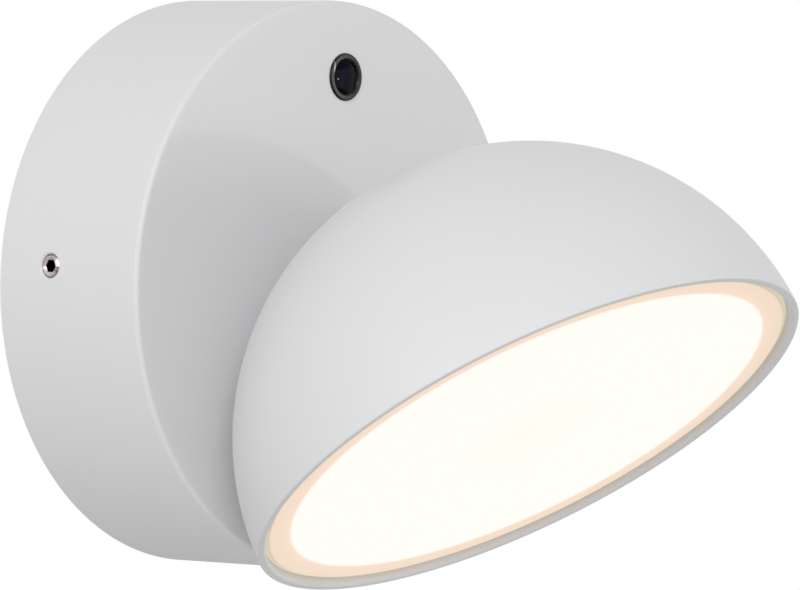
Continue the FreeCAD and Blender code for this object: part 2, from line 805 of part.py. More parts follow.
def stem_nut():
    shape = hex_bar(nut_flats, nut_front, nut_back)
    return on_stem(shape.cut(bar(stem_radius + thread_fit, nut_front - 1, nut_back + 1)))


def head_screw_places():
    return circle_places(head_screw_circle, head_screw_count)


def head_shell():
    ball = Part.makeSphere(dome_radius, V(0, 0, 0), V(0, 1, 0))
    shape = ball.common(bar(dome_radius + 1, -rim_beyond, dome_radius + 1))
    shape = shape.makeFillet(rim_round, rims_at(shape, -rim_beyond))
    hollow = Part.makeSphere(dome_inner, V(0, 0, 0), V(0, 1, 0))
    mouth = bar(dome_inner, -rim_beyond - 1, 0)
    bevel = Part.makeCone(dome_inner + mouth_bevel, dome_inner, mouth_bevel, V(0, -rim_beyond, 0),
                          V(0, 1, 0))
    inside = hollow.fuse(mouth).fuse(bevel)
    ledge = ring(dome_radius, flange_radius - ledge_width + push_fit, flange_back, flange_back + ledge_thick)
    bosses = [bar(head_boss_radius, cup_back, dome_radius, x, z) for x, z in head_screw_places()]
    keep = ledge.multiFuse(bosses).common(Part.makeSphere(dome_radius - dome_wall / 2))
    shape = shape.cut(inside).fuse(keep).removeSplitter()
    for x, z in head_screw_places():
        shape = shape.cut(bar(m3_radius + thread_fit, cup_back - 1, cup_inside + m3_long + screw_gap, x, z))
    pad, hole = stem_seat_in_dome()
    return aimed(shape.fuse(pad).removeSplitter().cut(hole))


# Flat pad inside the dome under the stem's head, and the flatted hole through it
def stem_seat_in_dome():
    pad = bar(stem_head_radius + stem_pad, stem_seat, dome_radius)
    pad = pad.common(Part.makeSphere(dome_radius - dome_wall / 2))
    hole = flatted(stem_radius + push_fit, stem_flat + push_fit, stem_seat - 1, dome_radius + 1)
    for shape in (pad, hole):
        shape.rotate(V(0, 0, 0), V(1, 0, 0), -tilt_middle)
    return pad, hole


# Heat sink cup that holds the board, with upright fins on its back to both sides of the stem's way
def led_carrier():
    cup_outer = cup_radius + cup_wall
    shape = spun([(0, cup_inside), (cup_radius, cup_inside), (cup_radius, flange_face),
                  (flange_radius, flange_face), (flange_radius, flange_back), (cup_outer, flange_back),
                  (cup_outer, cup_back), (0, cup_back)])
    room = Part.makeSphere(dome_inner - fin_clear)
    for i in range(fin_count_each_side):
        for side in (-1, 1):
            x = side * (fin_first + i * fin_spacing)
            fin = block(x - fin_thick / 2, x + fin_thick / 2, cup_back - 0.5, fin_tip, -cup_outer, cup_outer)
            shape = shape.fuse(fin.common(room))
    for x, z in head_screw_places():
        shape = shape.cut(bar(head_boss_radius + fin_clear, cup_back, dome_radius, x, z))
        shape = shape.cut(bar(m3_radius + screw_gap, cup_inside - 1, cup_back + 1, x, z))
    for x, z in board_screw_places():
        shape = shape.cut(bar(m3_radius + thread_fit, cup_inside - 1, board_face + m3_board + screw_gap,
                              x, z))
    shape = shape.cut(bar(gland_neck + push_fit, cup_inside - 1, cup_back + 1))
    return aimed(shape.removeSplitter())


def carrier_screws():
    return aimed(Part.makeCompound([pan_screw(m3_radius, m3_head_radius, m3_head_height, m3_long, x,
                                              cup_inside, z, 1) for x, z in head_screw_places()]))


def board_screw_places():
    return circle_places(board_screw_circle, board_screw_count, board_screw_first)


def led_board():
    shape = bar(board_radius, board_face, cup_inside)
    for x, z in board_screw_places():
        shape = shape.cut(bar(m3_radius + screw_gap, board_face - 1, cup_inside + 1, x, z))
    return aimed(shape.cut(bar(gland_neck + screw_gap, board_face - 1, cup_inside + 1)))


def board_screws():
    return aimed(Part.makeCompound([pan_screw(m3_radius, m3_head_radius, m3_head_height, m3_board, x,
                                              board_face, z, 1) for x, z in board_screw_places()]))


def led_chips():
    half = chip_size / 2
    inner = circle_places(chip_inner_circle, inner_chip_count)
    outer = circle_places(chip_outer_circle, outer_chip_count, outer_chip_first)
    return aimed(Part.makeCompound([block(x - half, x + half, board_face - chip_height, board_face,
                                          z - half, z + half) for x, z in inner + outer]))


def reflector():
    foot = board_face - reflector_wall
    outer = reflector_base + reflector_wall
    lip = reflector_base - reflector_wall
    return aimed(spun([(mouth_radius, flange_face), (mouth_radius + reflector_wall, flange_face),
                       (outer, foot), (outer, board_face), (lip, board_face), (lip, foot),
                       (reflector_base, foot)]))


def diffuser_gasket():
    return aimed(ring(flange_radius, flange_radius - gasket_width, diffuser_back, flange_face))


def diffuser():
    shape = bar(diffuser_radius, diffuser_face, diffuser_back)
    return aimed(shape.makeFillet(diffuser_edge, rims_at(shape, diffuser_face)))


# Rubber gland in the middle of the cup, round the lead
def lead_gland():
    back = cup_back + gland_stand
    shape = bar(gland_neck, board_face, cup_back).fuse(bar(gland_radius, cup_back, back)).removeSplitter()
    return aimed(shape.cut(bar(lamp_lead_radius + push_fit, board_face - 1, back + 1)))


# Through the stem, round inside the dome and down into the gland
def head_lead():
    lean = math.radians(tilt_middle)
    way = V(0, math.cos(lean), -math.sin(lean))
    end = way * (stem_back + lead_tail)
    bend = way * (stem_front - lead_entry)
    return aimed(lead([(0, end.y, end.z), (0, bend.y, bend.z), (0, bend.y, 0), (0, board_face, 0)],
                      lamp_lead_radius))


# From one pole of the terminal block to the driver's end
def supply_core(pole):
    start = terminal_x - terminal_width / 2
    end = driver_x + driver_width / 2
    step = (start - end) / 6
    y = terminal_wire_y()
    z = pole_heights()[pole]
    return lead([(start, y, z), (start - step, y, z), ((start + end) / 2, y + core_bow, z),
                 (end + step, y, z), (end, y, z)], core_radius)


def neutral_lead():
    return supply_core(1)


def live_lead():
    return supply_core(2)


def earth_lead():
    start = terminal_x + terminal_width / 2
    y = terminal_wire_y()
    z = pole_heights()[0]
    seat = floor_y + earth_boss_tall + tag_thick / 2
    tip = earth_z + tag_length
    over = tip + 2 * earth_clear
    out = start + 3 * core_radius + earth_clear
    return lead([(start, y, z), (out, y, z), (out, seat, over), (earth_x, seat, over), (earth_x, seat, tip)],
                core_radius)


def sensor_lead():
    back = -drum_depth + sleeve_length + sensor_board_thick
    out = back + sensor_lead_out
    top = driver_bottom + driver_height
    middle = floor_y + driver_deep / 2
    return lead([(0, back, sensor_rise), (0, out, sensor_rise), (0, out, top + sensor_lead_over),
                 (0, middle, top + sensor_lead_over), (0, middle, top)], sensor_lead_radius)


PIECES = [wall_bracket, rim_gasket, cable_grommet, base_housing, set_screws,
          sensor_bezel, sensor_lens, sensor_seal, sensor_nut, sensor_board, sensor_lead,
          driver_case, driver_lid, driver_screws, lamp_socket,
          terminal_block, terminal_screws, terminal_fixings,
          earth_tag, earth_screw, neutral_lead, live_lead, earth_lead,
          flange_seal, keeper_ring, keeper_screws, swivel_seat, seat_liner,
          head_shell, swivel_stem, slide_shoe, disc_spring, stem_nut, head_lead,
          led_carrier, carrier_screws, led_board, board_screws, led_chips, reflector,
          diffuser_gasket, diffuser, lead_gland]

os.makedirs("parts", exist_ok=True)
for piece in PIECES:
    piece().exportStep("parts/" + piece.__name__ + ".step")
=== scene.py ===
import json
import math
import bpy
import bmesh
import numpy as np
from mathutils import Matrix, Vector


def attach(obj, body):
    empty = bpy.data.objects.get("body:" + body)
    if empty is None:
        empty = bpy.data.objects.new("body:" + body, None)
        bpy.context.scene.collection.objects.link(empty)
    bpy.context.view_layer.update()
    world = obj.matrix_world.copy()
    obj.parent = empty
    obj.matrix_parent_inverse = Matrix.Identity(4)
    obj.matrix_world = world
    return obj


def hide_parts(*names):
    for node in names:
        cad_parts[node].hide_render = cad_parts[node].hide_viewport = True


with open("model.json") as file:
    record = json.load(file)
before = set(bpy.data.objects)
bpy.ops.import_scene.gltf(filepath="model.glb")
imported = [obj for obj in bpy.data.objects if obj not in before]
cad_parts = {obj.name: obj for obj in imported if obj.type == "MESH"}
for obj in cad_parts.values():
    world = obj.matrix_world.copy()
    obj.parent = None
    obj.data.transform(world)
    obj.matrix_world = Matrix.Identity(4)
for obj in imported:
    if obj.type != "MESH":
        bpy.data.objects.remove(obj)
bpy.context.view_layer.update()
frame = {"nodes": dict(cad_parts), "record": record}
slotOfNode = {s["node"]: s["material_slot"] for s in frame["record"]["subparts"]}
print("frame loaded:", len(frame["nodes"]), "nodes")

mm = 0.001
ballCentre = Vector((0, -93.75, -29.9)) * mm
headTilt, headPan = math.radians(55.9), math.radians(3.4)

# from a piece's own axis, which lies along Y, to its place in the frame
inHead = (Matrix.Translation(ballCentre) @ Matrix.Rotation(-headPan, 4, "Y")
          @ Matrix.Rotation(headTilt, 4, "X"))
lightWay = (inHead.to_3x3() @ Vector((0, -1, 0))).normalized()


def along(axis, x=0.0, y=0.0, z=0.0):
    """A piece made along +Y is turned to lie along +X, -X or +Y, and moved to x, y, z in mm."""
    turn = {"+Y": Matrix.Identity(4), "+X": Matrix.Rotation(-math.pi / 2, 4, "Z"),
            "-X": Matrix.Rotation(math.pi / 2, 4, "Z")}[axis]
    return Matrix.Translation(Vector((x, y, z)) * mm) @ turn


# camera
camera = dict(
    turn=-49.55, rise=-1.38, roll=3.09,      # degrees
    distance=913.04, aim=(19.88, -40.0, -1.03),
    focal=4255.3, width=800,                 # both in pixels of the photograph
)


def makeCamera(s):
    """Stands at a distance from the aim, turned about Z from straight in front, then raised and rolled."""
    a, e, r = (math.radians(s[k]) for k in ("turn", "rise", "roll"))
    back = Vector((math.sin(a) * math.cos(e), -math.cos(a) * math.cos(e), math.sin(e)))
    right = Vector((math.cos(a), math.sin(a), 0))
    up = back.cross(right)
    right, up = right * math.cos(r) + up * math.sin(r), up * math.cos(r) - right * math.sin(r)
    data = bpy.data.cameras.new("camera")
    data.sensor_width = 36
    data.lens = s["focal"] / s["width"] * data.sensor_width
    data.clip_start = 0.01
    obj = bpy.data.objects.new("camera", data)
    obj.matrix_world = Matrix((right, up, back)).transposed().to_4x4()
    obj.matrix_world.translation = Vector(s["aim"]) * mm + back * s["distance"] * mm
    bpy.context.scene.collection.objects.link(obj)
    bpy.context.scene.camera = obj


makeCamera(camera)
bpy.context.scene.view_settings.view_transform = "Standard"
print("camera set")


# shader maths
class Wire:
    """One socket of a node tree. Each operator adds the Math node that does it."""

    def __init__(self, tree, socket):
        self.tree, self.socket = tree, socket

    def math(self, operation, a, b):
        node = self.tree.nodes.new("ShaderNodeMath")
        node.operation = operation
        for value, slot in ((a, node.inputs[0]), (b, node.inputs[1])):
            if isinstance(value, Wire):
                self.tree.links.new(value.socket, slot)
            else:
                slot.default_value = value
        return Wire(self.tree, node.outputs[0])

    def __add__(self, other):
        return self.math("ADD", self, other)

    def __sub__(self, other):
        return self.math("SUBTRACT", self, other)

    def __mul__(self, other):
        return self.math("MULTIPLY", self, other)

    def __truediv__(self, other):
        return self.math("DIVIDE", self, other)

    def __rsub__(self, other):
        return self.math("SUBTRACT", other, self)


class Finish:
    """A new material with an empty tree, a Principled shader and the surface's own coordinates."""

    def __init__(self, name, **plain):
        self.material = bpy.data.materials.new(name)
        self.material.use_nodes = True
        self.tree = self.material.node_tree
        self.tree.nodes.clear()
        out = self.tree.nodes.new("ShaderNodeOutputMaterial")
        self.shader = self.tree.nodes.new("ShaderNodeBsdfPrincipled")
        self.tree.links.new(self.shader.outputs[0], out.inputs["Surface"])
        self.set(**plain)
        self.place = self.add("TexCoord", out="Object")

    def set(self, **values):
        """Constants and wires for the shader's sockets, such as baseColor or coatWeight."""
        slots = {slot.name.replace(" ", "").lower(): slot for slot in self.shader.inputs}
        for key, value in values.items():
            self.put(slots[key.lower()], value)

    def put(self, slot, value):
        if isinstance(value, Wire):
            self.tree.links.new(value.socket, slot)
        elif isinstance(value, (tuple, list)) and len(value) == 3 and slot.type == "RGBA":
            slot.default_value = (*value, 1)
        else:
            slot.default_value = value

    def add(self, kind, settings=None, inputs=None, out=0):
        """Any node: its settings are set first, then the values or wires of its sockets."""
        node = self.tree.nodes.new("ShaderNode" + kind)
        for key, value in (settings or {}).items():
            if key == "stops":
                ramp = node.color_ramp
                while len(ramp.elements) < len(value):
                    ramp.elements.new(0.5)
                for element, (at, colour) in zip(ramp.elements, value):
                    element.position = at
                    element.color = (*colour, 1)
            else:
                setattr(node, key, value)
        for key, value in (inputs or {}).items():
            self.put(node.inputs[key], value)
        return Wire(self.tree, node.outputs[out])

    def part(self, axis):
        """One coordinate of the surface's place, in metres."""
        return self.add("SeparateXYZ", inputs={"Vector": self.place}, out=axis)

    def noise(self, size, detail=3.0, rough=0.5, stretch=None):
        """Noise whose features are about size mm wide, drawn out along an axis by stretch."""
        place = self.place
        if stretch:
            place = self.add("Mapping", inputs={"Vector": place, "Scale": stretch})
        return self.add("TexNoise", inputs={"Vector": place, "Scale": 1 / (size * mm), "Detail": detail,
                                            "Roughness": rough})

    def blend(self, factor, first, second):
        """Colour from first to second as factor goes from 0 to 1."""
        return self.add("Mix", {"data_type": "RGBA"}, {0: factor, 6: first, 7: second}, out=2)

    def steps(self, value, stops):
        return self.add("ValToRGB", {"stops": stops}, {"Fac": value})

    def bump(self, height, depth, strength=1.0):
        """Height from 0 to 1 stands for depth mm."""
        self.set(normal=self.add("Bump", inputs={"Height": height, "Distance": depth * mm,
                                                 "Strength": strength}))


def shade(colour, factor):
    return tuple(min(1.0, c * factor) for c in colour)


# finishes
powder = dict(colour=(0.735, 0.735, 0.742), roughness=0.46, grain=0.32, depth=0.012, cloud=38.0)


def powderCoat(s):
    """Smooth matt powder coat: a very fine orange peel, and roughness that drifts a little."""
    f = Finish("powderCoat", specularIORLevel=0.42)
    peel = f.noise(s["grain"], 2.5, 0.55)
    cloud = f.noise(s["cloud"], 2.0)
    f.set(baseColor=f.blend(cloud, shade(s["colour"], 0.985), shade(s["colour"], 1.012)),
          roughness=peel * 0.07 + cloud * 0.05 + (s["roughness"] - 0.06))
    f.bump(peel, s["depth"], 0.5)
    return f.material


opal = dict(
    disc=52.75, edge=0.35, plate=57.5,           # mm from the head's axis
    lit=(0.88, 0.800, 0.745), middle=(0.90, 0.785, 0.690),
    margin=(0.74, 0.555, 0.42), marginOuter=(0.68, 0.525, 0.390),
    step=57.7, line=(0.36, 0.325, 0.21), shoulder=(0.50, 0.455, 0.315),
    plastic=(0.22, 0.21, 0.195),
    span=60.0,                                   # mm where the colour steps end
    evenFrom=0.28, lineSoft=0.25,
    mottle=(0.95, 0.85, 0.76), mottleShare=0.05,
)


def opalPlate(s):
    """Lit opal acrylic. Its glow goes by the distance from the head's axis: the lit disc, then the margin."""
    f = Finish("opalPlate", baseColor=s["plastic"], roughness=0.38, specularIORLevel=0.35,
               emissionStrength=1.0)
    arm = f.add("VectorMath", {"operation": "SUBTRACT"}, {0: f.place, 1: tuple(ballCentre)})
    cross = f.add("VectorMath", {"operation": "CROSS_PRODUCT"}, {0: arm, 1: tuple(lightWay)})
    radius = f.add("VectorMath", {"operation": "LENGTH"}, {0: cross}, out="Value") * (1 / mm)
    span = s["span"]
    glow = f.steps(radius / span, [
        (0.0, s["middle"]), (s["evenFrom"], s["lit"]), ((s["disc"] - s["edge"]) / span, s["lit"]),
        ((s["disc"] + s["edge"]) / span, s["margin"]),
        ((s["plate"] - s["lineSoft"]) / span, s["marginOuter"]),
        (s["plate"] / span, s["line"]), (s["step"] / span, s["shoulder"]),
    ])
    mottle = f.noise(9.0, 2.0)
    f.set(emissionColor=f.blend(mottle * s["mottleShare"], glow, s["mottle"]))
    f.bump(f.noise(0.5, 2.0), 0.004, 0.4)
    return f.material


def steel(name, colour, roughness, stretch, streak=0.35, depth=0.004):
    """Turned or drawn steel: fine streaks along one axis."""
    f = Finish(name, metallic=1.0)
    lines = f.noise(streak, 2.0, 0.6, stretch)
    smear = f.noise(6.0, 2.0)
    f.set(baseColor=f.blend(lines, shade(colour, 0.86), shade(colour, 1.06)),
          roughness=lines * 0.14 + smear * 0.10 + (roughness - 0.12))
    f.bump(lines, depth, 0.5)
    return f.material


def zincPlate(name, colour):
    """Bright zinc on pressed steel: crystal patches of a few mm, with rolling lines along X."""
    f = Finish(name, metallic=1.0)
    patch = f.add("TexVoronoi", {"feature": "F1"}, {"Vector": f.place, "Scale": 260.0}, out="Color")
    grey = f.add("RGBToBW", inputs={"Color": patch})
    rolled = f.noise(0.5, 2.0, 0.6, (0.04, 1, 1))
    f.set(baseColor=f.blend(grey, shade(colour, 0.88), shade(colour, 1.08)),
          roughness=grey * 0.12 + rolled * 0.10 + 0.24)
    f.bump(rolled, 0.005, 0.5)
    return f.material


def castMetal(name, colour):
    """Aluminium as it comes from the die: dull skin with pits and flow marks."""
    f = Finish(name, metallic=0.9)
    skin = f.noise(0.8, 5.0, 0.6)
    flow = f.noise(11.0, 3.0, 0.5, (1, 2.5, 1))
    f.set(baseColor=f.blend(flow, shade(colour, 0.82), shade(colour, 1.04)),
          roughness=skin * 0.22 + 0.38)
    f.bump(skin, 0.03, 0.6)
    return f.material


def rubber(name, colour, roughness=0.72):
    """Moulded rubber: fine matt grain and a little bloom."""
    f = Finish(name, specularIORLevel=0.3)
    grain = f.noise(0.25, 3.0)
    bloom = f.noise(7.0, 3.0)
    f.set(baseColor=f.blend(bloom, shade(colour, 0.8), shade(colour, 1.5)),
          roughness=grain * 0.14 + roughness - 0.05)
    f.bump(grain, 0.02, 0.6)
    return f.material


def moulded(name, colour, roughness, grain=0.3, depth=0.012, drift=0.05):
    """Moulded plastic: spark-eroded grain, and a colour that drifts a little along the flow."""
    f = Finish(name, specularIORLevel=0.42)
    skin = f.noise(grain, 3.0, 0.55)
    flow = f.noise(12.0, 2.0)
    f.set(baseColor=f.blend(flow, shade(colour, 1 - drift), shade(colour, 1 + drift)),
          roughness=skin * 0.12 + roughness - 0.05)
    f.bump(skin, depth, 0.6)
    return f.material


def fromPoint(f, x, y, z, stretch=(1, 1, 1)):
    """Distance in mm from a point on the piece, with the axes stretched."""
    arm = f.add("VectorMath", {"operation": "SUBTRACT"}, {0: f.place, 1: (x * mm, y * mm, z * mm)})
    arm = f.add("VectorMath", {"operation": "MULTIPLY"}, {0: arm, 1: stretch})
    return f.add("VectorMath", {"operation": "LENGTH"}, {0: arm}, out="Value") * (1 / mm)


dark, full = (0, 0, 0), (1, 1, 1)                 # ends of a mask

lensLook = dict(
    # glow: centre and spread of the blue painted light, off-centre towards -X
    glow=(-1.0, -38.8, 44.2), glowStretch=(1, 0, 0.75), glowSize=3.0, glowEnd=0.9,
    dye=(0.0008, 0.0006, 0.0009), blue=(0.0012, 0.0012, 0.017),
    ring=(0.35, -38.8, 43.75), ringSize=4.0, ringFrom=0.735, ringTop=0.765, ringTo=0.80,
    sideSpan=8.0, sideFrom=0.62, sideTo=0.78, sideShare=(0.5, 0.5, 0.5),
    pale=(0.10, 0.095, 0.10),
)


def darkLens(name, s):
    """Dyed lens: almost black, and blue where painted light is shown reaching in off-centre towards -X,
    with a thin pale arc near its +X edge."""
    f = Finish(name, specularIORLevel=0.035, roughness=0.05)
    # painted light: blue where light is shown reaching into the lens
    glow = f.steps(fromPoint(f, *s["glow"], s["glowStretch"]) / s["glowSize"],
                   [(0.0, full), (s["glowEnd"], dark)])
    # a thin pale arc near the +X edge, masked to that side only
    ring = f.steps(fromPoint(f, *s["ring"], (1, 0, 1)) / s["ringSize"],
                   [(0.0, dark), (s["ringFrom"], dark), (s["ringTop"], full), (s["ringTo"], dark)])
    side = f.steps(f.part("X") / (s["sideSpan"] * mm) + 0.5,
                   [(s["sideFrom"], dark), (s["sideTo"], s["sideShare"])])
    f.set(baseColor=f.blend(ring * side, f.blend(glow, s["dye"], s["blue"]), s["pale"]))
    f.bump(f.noise(2.4, 1.0), 0.004, 0.25)
    return f.material


bezelLook = dict(
    middle=(0, 0, 44.05), span=6.0,
    crown=[(0.60, dark), (0.68, full), (0.76, (0.8, 0.8, 0.8)), (0.82, dark)],
    sideSpan=10.0, side=[(0.30, full), (0.74, (0.04, 0.04, 0.04))],
    # the grey after black is a painted reflection on the ring's crown
    black=(0.0040, 0.0032, 0.0045), rubbed=(0.074, 0.062, 0.070),
    # place, spread and colour of a pale painted highlight streak
    streakAt=(-3.98, 0, 45.6), streakStretch=(3.2, 0, 0.62), streak=[(0.45, full), (0.95, dark)],
    streakColour=(0.52, 0.46, 0.50),
)


def bezelPlastic(name, s):
    """Black moulding with painted reflection: grey on the crown of the ring, most of all on its open -X side,
    and a pale painted highlight streak at its upper left."""
    f = Finish(name, specularIORLevel=0.16, coatWeight=0.12, coatRoughness=0.1)
    skin = f.noise(0.2, 3.0)
    crown = f.steps(fromPoint(f, *s["middle"], (1, 0, 1)) / s["span"], s["crown"])
    side = f.steps(f.part("X") / (s["sideSpan"] * mm) + 0.5, s["side"])
    # painted reflection: grey on the crown, strongest on the -X side
    rubbed = f.blend(crown * side, s["black"], s["rubbed"])
    # painted highlight: a pale streak at the ring's upper left
    streak = f.steps(fromPoint(f, *s["streakAt"], s["streakStretch"]), s["streak"])
    f.set(baseColor=f.blend(streak, rubbed, s["streakColour"]), roughness=skin * 0.1 + 0.22)
    f.bump(skin, 0.004, 0.5)
    return f.material


# read by the screw's finish here and by its shape below
setScrew = dict(radius=2.5, length=8.0, face=60.176, depth=14.1, chamfer=0.45, hexFlats=2.5, hexDeep=3.2,
                cone=0.55, mouth=0.18, pitch=0.8, threadDeep=0.28, cup=1.2)
setScrewLook = dict(
    # socket: near-black painted shade inside the hex socket
    steel=(0.60, 0.56, 0.55), socket=(0.010, 0.004, 0.004),
    socketFrom=0.22, socketWide=0.50, wideSpan=3.0, lineShare=0.25,
    # painted reflections: bright glints and dark streaks by the angle round the screw's axis
    flash=[(0.0, (0.50, 0.46, 0.45)), (0.03, (0.98, 0.95, 0.90)), (0.08, (0.60, 0.55, 0.54)),
           (0.38, (0.42, 0.35, 0.37)), (0.415, (0.12, 0.09, 0.11)), (0.45, (0.38, 0.33, 0.34)),
           (0.478, (0.16, 0.13, 0.16)), (0.51, (0.97, 0.97, 0.97)), (0.59, (0.97, 0.97, 0.97)),
           (0.64, (0.46, 0.42, 0.42)), (0.80, (0.56, 0.50, 0.50)), (0.97, (0.44, 0.36, 0.34))],
)


def setScrewSteel(name, s):
    """Turned steel. Painted reflections: bright glints and dark streaks go by the angle round the screw's
    axis, and the hex socket is painted near black as shade."""
    f = Finish(name, metallic=1.0)
    arm, rise, reach = f.part("Y") + setScrew["depth"] * mm, f.part("Z"), f.part("X")
    angle = rise.math("ARCTAN2", rise, arm * -1.0) / (2 * math.pi) + 0.5
    # painted reflections, by the angle round the axis
    flash = f.steps(angle, s["flash"])
    deep = (setScrew["face"] * mm - reach.math("ABSOLUTE", reach, 0.0)) / (1.0 * mm)
    across = arm.math("SQRT", arm * arm + rise * rise, 0.0) / (s["wideSpan"] * mm)
    # mask of the hex socket, which is painted near black as shade
    inside = (deep.math("GREATER_THAN", deep, s["socketFrom"])
              * across.math("LESS_THAN", across, s["socketWide"]))
    lines = f.noise(0.3, 2.0, 0.6, (1, 0.2, 0.2))
    f.set(baseColor=f.blend(inside, f.blend(lines * s["lineShare"], flash, s["steel"]), s["socket"]),
          roughness=lines * 0.12 + 0.26)
    f.bump(lines, 0.003, 0.4)
    return f.material


def circuitBoard(name, mask, copper, pitch):
    """Solder mask over copper tracks, which run along two axes between square pads."""
    f = Finish(name, roughness=0.3, specularIORLevel=0.5)
    tracks = f.add("TexBrick", {"offset": 0.5, "squash": 0.7},
                   {"Vector": f.add("Mapping", inputs={"Vector": f.place, "Rotation": (math.pi / 2, 0, 0)}),
                    "Color1": mask, "Color2": shade(mask, 1.35), "Mortar": copper, "Scale": 1 / (pitch * mm),
                    "Mortar Size": 0.05, "Brick Width": 1.4, "Row Height": 0.55})
    f.set(baseColor=tracks)
    f.bump(f.noise(0.4, 2.0), 0.01, 0.5)
    return f.material


def stripedSheath(name, green, yellow):
    """Earth sheath: green and yellow bands, a few mm long."""
    f = Finish(name, specularIORLevel=0.45, roughness=0.34)
    bands = f.add("TexWave", {"bands_direction": "Z"}, {"Vector": f.place, "Scale": 70.0, "Distortion": 0.2})
    f.set(baseColor=f.blend(f.steps(bands, [(0.48, (0, 0, 0)), (0.52, (1, 1, 1))]), green, yellow))
    f.bump(f.noise(0.8, 2.0), 0.01, 0.4)
    return f.material


finishes = {
    "white_powder_coat": powderCoat(powder),
    "opal_diffuser": opalPlate(opal),
    "black_rubber": rubber("blackRubber", (0.030, 0.030, 0.032)),
    "clear_silicone": rubber("clearSilicone", (0.62, 0.60, 0.55), 0.5),
    "stainless_steel": steel("stainless", (0.62, 0.61, 0.60), 0.30, (1, 0.05, 1)),
    "zinc_plated_steel": zincPlate("zincPlate", (0.62, 0.64, 0.67)),
    "cast_aluminium": castMetal("castMetal", (0.68, 0.69, 0.70)),
    "brass_clamps": steel("brass", (0.80, 0.60, 0.30), 0.28, (1, 0.08, 1)),
    "black_plastic": bezelPlastic("bezelBlack", bezelLook),
    "dark_lens": darkLens("darkLens", lensLook),
    "green_board": circuitBoard("greenBoard", (0.02, 0.16, 0.07), (0.10, 0.35, 0.16), 2.2),
    "white_board": circuitBoard("whiteBoard", (0.80, 0.80, 0.77), (0.62, 0.62, 0.58), 7.0),
    "grey_sheath": moulded("greySheath", (0.30, 0.30, 0.31), 0.36, 0.5),
    "blue_sheath": moulded("blueSheath", (0.03, 0.13, 0.46), 0.34, 0.5),
    "brown_sheath": moulded("brownSheath", (0.20, 0.085, 0.035), 0.34, 0.5),
    "green_yellow_sheath": stripedSheath("stripedSheath", (0.04, 0.32, 0.06), (0.78, 0.66, 0.04)),
    "white_plastic": moulded("caseWhite", (0.70, 0.70, 0.68), 0.42),
    "grey_plastic": moulded("lidGrey", (0.36, 0.37, 0.38), 0.42),
    "ivory_plastic": moulded("terminalIvory", (0.72, 0.68, 0.56), 0.34, 0.4),
    "liner_plastic": moulded("linerWhite", (0.70, 0.70, 0.67), 0.36, 0.6),
    "yellow_phosphor": moulded("phosphor", (0.86, 0.70, 0.14), 0.45, 0.15, 0.01, 0.12),
    "white_reflector": moulded("reflectorWhite", (0.84, 0.84, 0.83), 0.22, 0.6, 0.004),
}
turnedSteel = setScrewSteel("turnedSteel", setScrewLook)
for name, node in frame["nodes"].items():
    for slot in node.material_slots:
        slot.material = finishes[slotOfNode[name]]
print("finishes made:", len(finishes))


# shapes
def arcAt(before, corner, after, radius, steps):
    """Points of the arc of that radius which touches both sides of a corner, all in (r, y)."""
    before, corner, after = (np.array(p, float) for p in (before, corner, after))
    a, b = before - corner, after - corner
    a, b = a / np.linalg.norm(a), b / np.linalg.norm(b)
    half = math.acos(np.clip(a @ b, -1, 1)) / 2
    middle = corner + (a + b) / np.linalg.norm(a + b) * radius / math.sin(half)
    start, end = corner + a * radius / math.tan(half), corner + b * radius / math.tan(half)
    t = np.linspace(0, 1, steps)[:, None]
    way = (start - middle) * (1 - t) + (end - middle) * t
    return middle + way / np.linalg.norm(way, axis=1)[:, None] * radius


def profile(corners, steps=7):
    """A path in (r, y), mm. A corner with a third number is rounded to that radius."""
    points = []
    for i, corner in enumerate(corners):
        if len(corner) == 3 and 0 < i < len(corners) - 1:
            points.extend(arcAt(corners[i - 1][:2], corner[:2], corners[i + 1][:2], corner[2], steps))
        else:
            points.append(np.array(corner[:2], float))
    return np.array(points)


def spread(points, longest):
    """The same path with every side cut into equal parts no longer than that, in mm."""
    rows = [points[:1]]
    for a, b in zip(points, points[1:]):
        count = max(1, math.ceil(np.linalg.norm(b - a) / longest))
        rows.append(a + (b - a) * (np.arange(1, count + 1) / count)[:, None])
    return np.concatenate(rows)


def gridPiece(name, grid, place, sharp=28.0):
    """Skin over an array of rows by columns of points in mm. The columns close on themselves."""
    rows, columns = grid.shape[:2]
    i, j = np.meshgrid(np.arange(rows - 1), np.arange(columns), indexing="ij")
    k = (j + 1) % columns
    faces = np.stack([i * columns + j, (i + 1) * columns + j, (i + 1) * columns + k, i * columns + k], -1)
    mesh = bpy.data.meshes.new(name)
    mesh.from_pydata((grid.reshape(-1, 3) * mm).tolist(), [], faces.reshape(-1, 4).tolist())
    closeUp(mesh)
    mesh.transform(place)
    shadeMesh(mesh, sharp)
    piece = bpy.data.objects.new(name, mesh)
    bpy.context.scene.collection.objects.link(piece)
    return piece


def closeUp(mesh):
    """Poles and seams are merged, and faces turned outwards."""
    shape = bmesh.new()
    shape.from_mesh(mesh)
    bmesh.ops.remove_doubles(shape, verts=shape.verts, dist=1e-7)
    bmesh.ops.recalc_face_normals(shape, faces=shape.faces)
    shape.to_mesh(mesh)
    shape.free()


def shadeMesh(mesh, sharp):
    mesh.shade_smooth()
    mesh.set_sharp_from_angle(angle=math.radians(sharp))


def turned(name, path, place, segments=160, sharp=28.0):
    """Path (r, y) carried round the Y axis: (r cos u, y, r sin u). It is closed where r is 0 at both
    ends, or where the path ends at its start."""
    u = np.linspace(0, 2 * math.pi, segments, endpoint=False)
    r, y = path.T
    grid = np.stack([np.outer(r, np.cos(u)), np.outer(y, np.ones(segments)), np.outer(r, np.sin(u))], -1)
    return gridPiece(name, grid, place, sharp)


